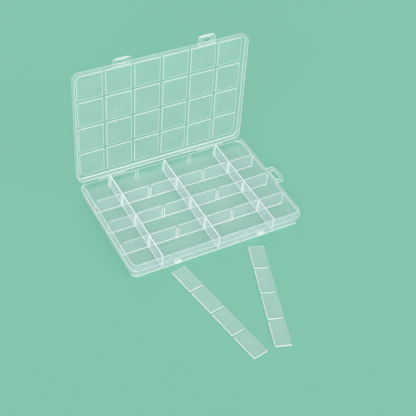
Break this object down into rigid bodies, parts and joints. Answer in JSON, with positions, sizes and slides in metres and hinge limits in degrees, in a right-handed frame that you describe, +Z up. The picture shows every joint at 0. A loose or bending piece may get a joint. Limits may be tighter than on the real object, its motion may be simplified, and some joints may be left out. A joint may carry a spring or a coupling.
{
  "type": "compartment storage box",
  "caption": "Clear plastic organizer box with a hinged lid, snap latches, a hang tab, moulded cross walls and lift-out divider strips that part it into small cells.",
  "frame": {"origin": "middle of the tray's underside, on the surface it stands on", "axes": "+X along the long side towards the hang tab, +Y towards the hinged back, +Z up"},
  "size_m": [0.206, 0.2784, 0.1582],
  "materials": {
    "tray_plastic": "clear polypropylene with a slight haze",
    "lid_plastic": "clear polypropylene, hazy on the pressed pads",
    "strip_plastic": "clear polypropylene, hazier than the tray"
  },
  "bodies": {
    "tray": {"tray_shell": "tray_plastic", "hang_tab": "tray_plastic", "cross_wall_front": "tray_plastic", "cross_wall_middle": "tray_plastic", "cross_wall_back": "tray_plastic", "wall_guides_front": "tray_plastic", "wall_guides_middle": "tray_plastic", "wall_guides_back": "tray_plastic", "side_guides_front": "tray_plastic", "side_guides_back": "tray_plastic", "hinge_web_left": "tray_plastic", "hinge_web_right": "tray_plastic", "catch_left": "tray_plastic", "catch_right": "tray_plastic"},
    "lid": {"lid_panel": "lid_plastic", "lid_skirt": "lid_plastic"},
    "left_latch": {"latch_left": "lid_plastic"},
    "right_latch": {"latch_right": "lid_plastic"},
    "left_divider": {"divider_left": "strip_plastic"},
    "middle_divider": {"divider_middle": "strip_plastic"},
    "right_divider": {"divider_right": "strip_plastic"},
    "left_spare_divider": {"spare_divider_left": "strip_plastic"},
    "right_spare_divider": {"spare_divider_right": "strip_plastic"}
  },
  "joints": [
    {"name": "lid_hinge", "type": "hinge", "parent": "tray", "child": "lid", "pos_m": [0, 0.0677, 0.0123], "axis": [-1, 0, 0], "range_deg": [-92, 88]},
    {"name": "left_latch_hinge", "type": "hinge", "parent": "lid", "child": "left_latch", "pos_m": [-0.04702, 0.07293, 0.14765], "axis": [-1, 0, 0], "range_deg": [-73, 69], "stiffness_Nm_per_rad": 0.0005},
    {"name": "right_latch_hinge", "type": "hinge", "parent": "lid", "child": "right_latch", "pos_m": [0.04702, 0.07293, 0.14765], "axis": [-1, 0, 0], "range_deg": [-93, 49], "stiffness_Nm_per_rad": 0.0005},
    {"name": "left_divider_lift", "type": "slide", "parent": "tray", "child": "left_divider", "axis": [0, 0, 1], "range_m": [0, 0.03]},
    {"name": "middle_divider_lift", "type": "slide", "parent": "tray", "child": "middle_divider", "axis": [0, 0, 1], "range_m": [0, 0.03]},
    {"name": "right_divider_lift", "type": "slide", "parent": "tray", "child": "right_divider", "axis": [0, 0, 1], "range_m": [0, 0.03]},
    {"name": "left_spare_divider_lift", "type": "slide", "parent": "tray", "child": "left_spare_divider", "axis": [0, 0, 1], "range_m": [0, 0.03]},
    {"name": "right_spare_divider_lift", "type": "slide", "parent": "tray", "child": "right_spare_divider", "axis": [0, 0, 1], "range_m": [0, 0.03]}
  ]
}
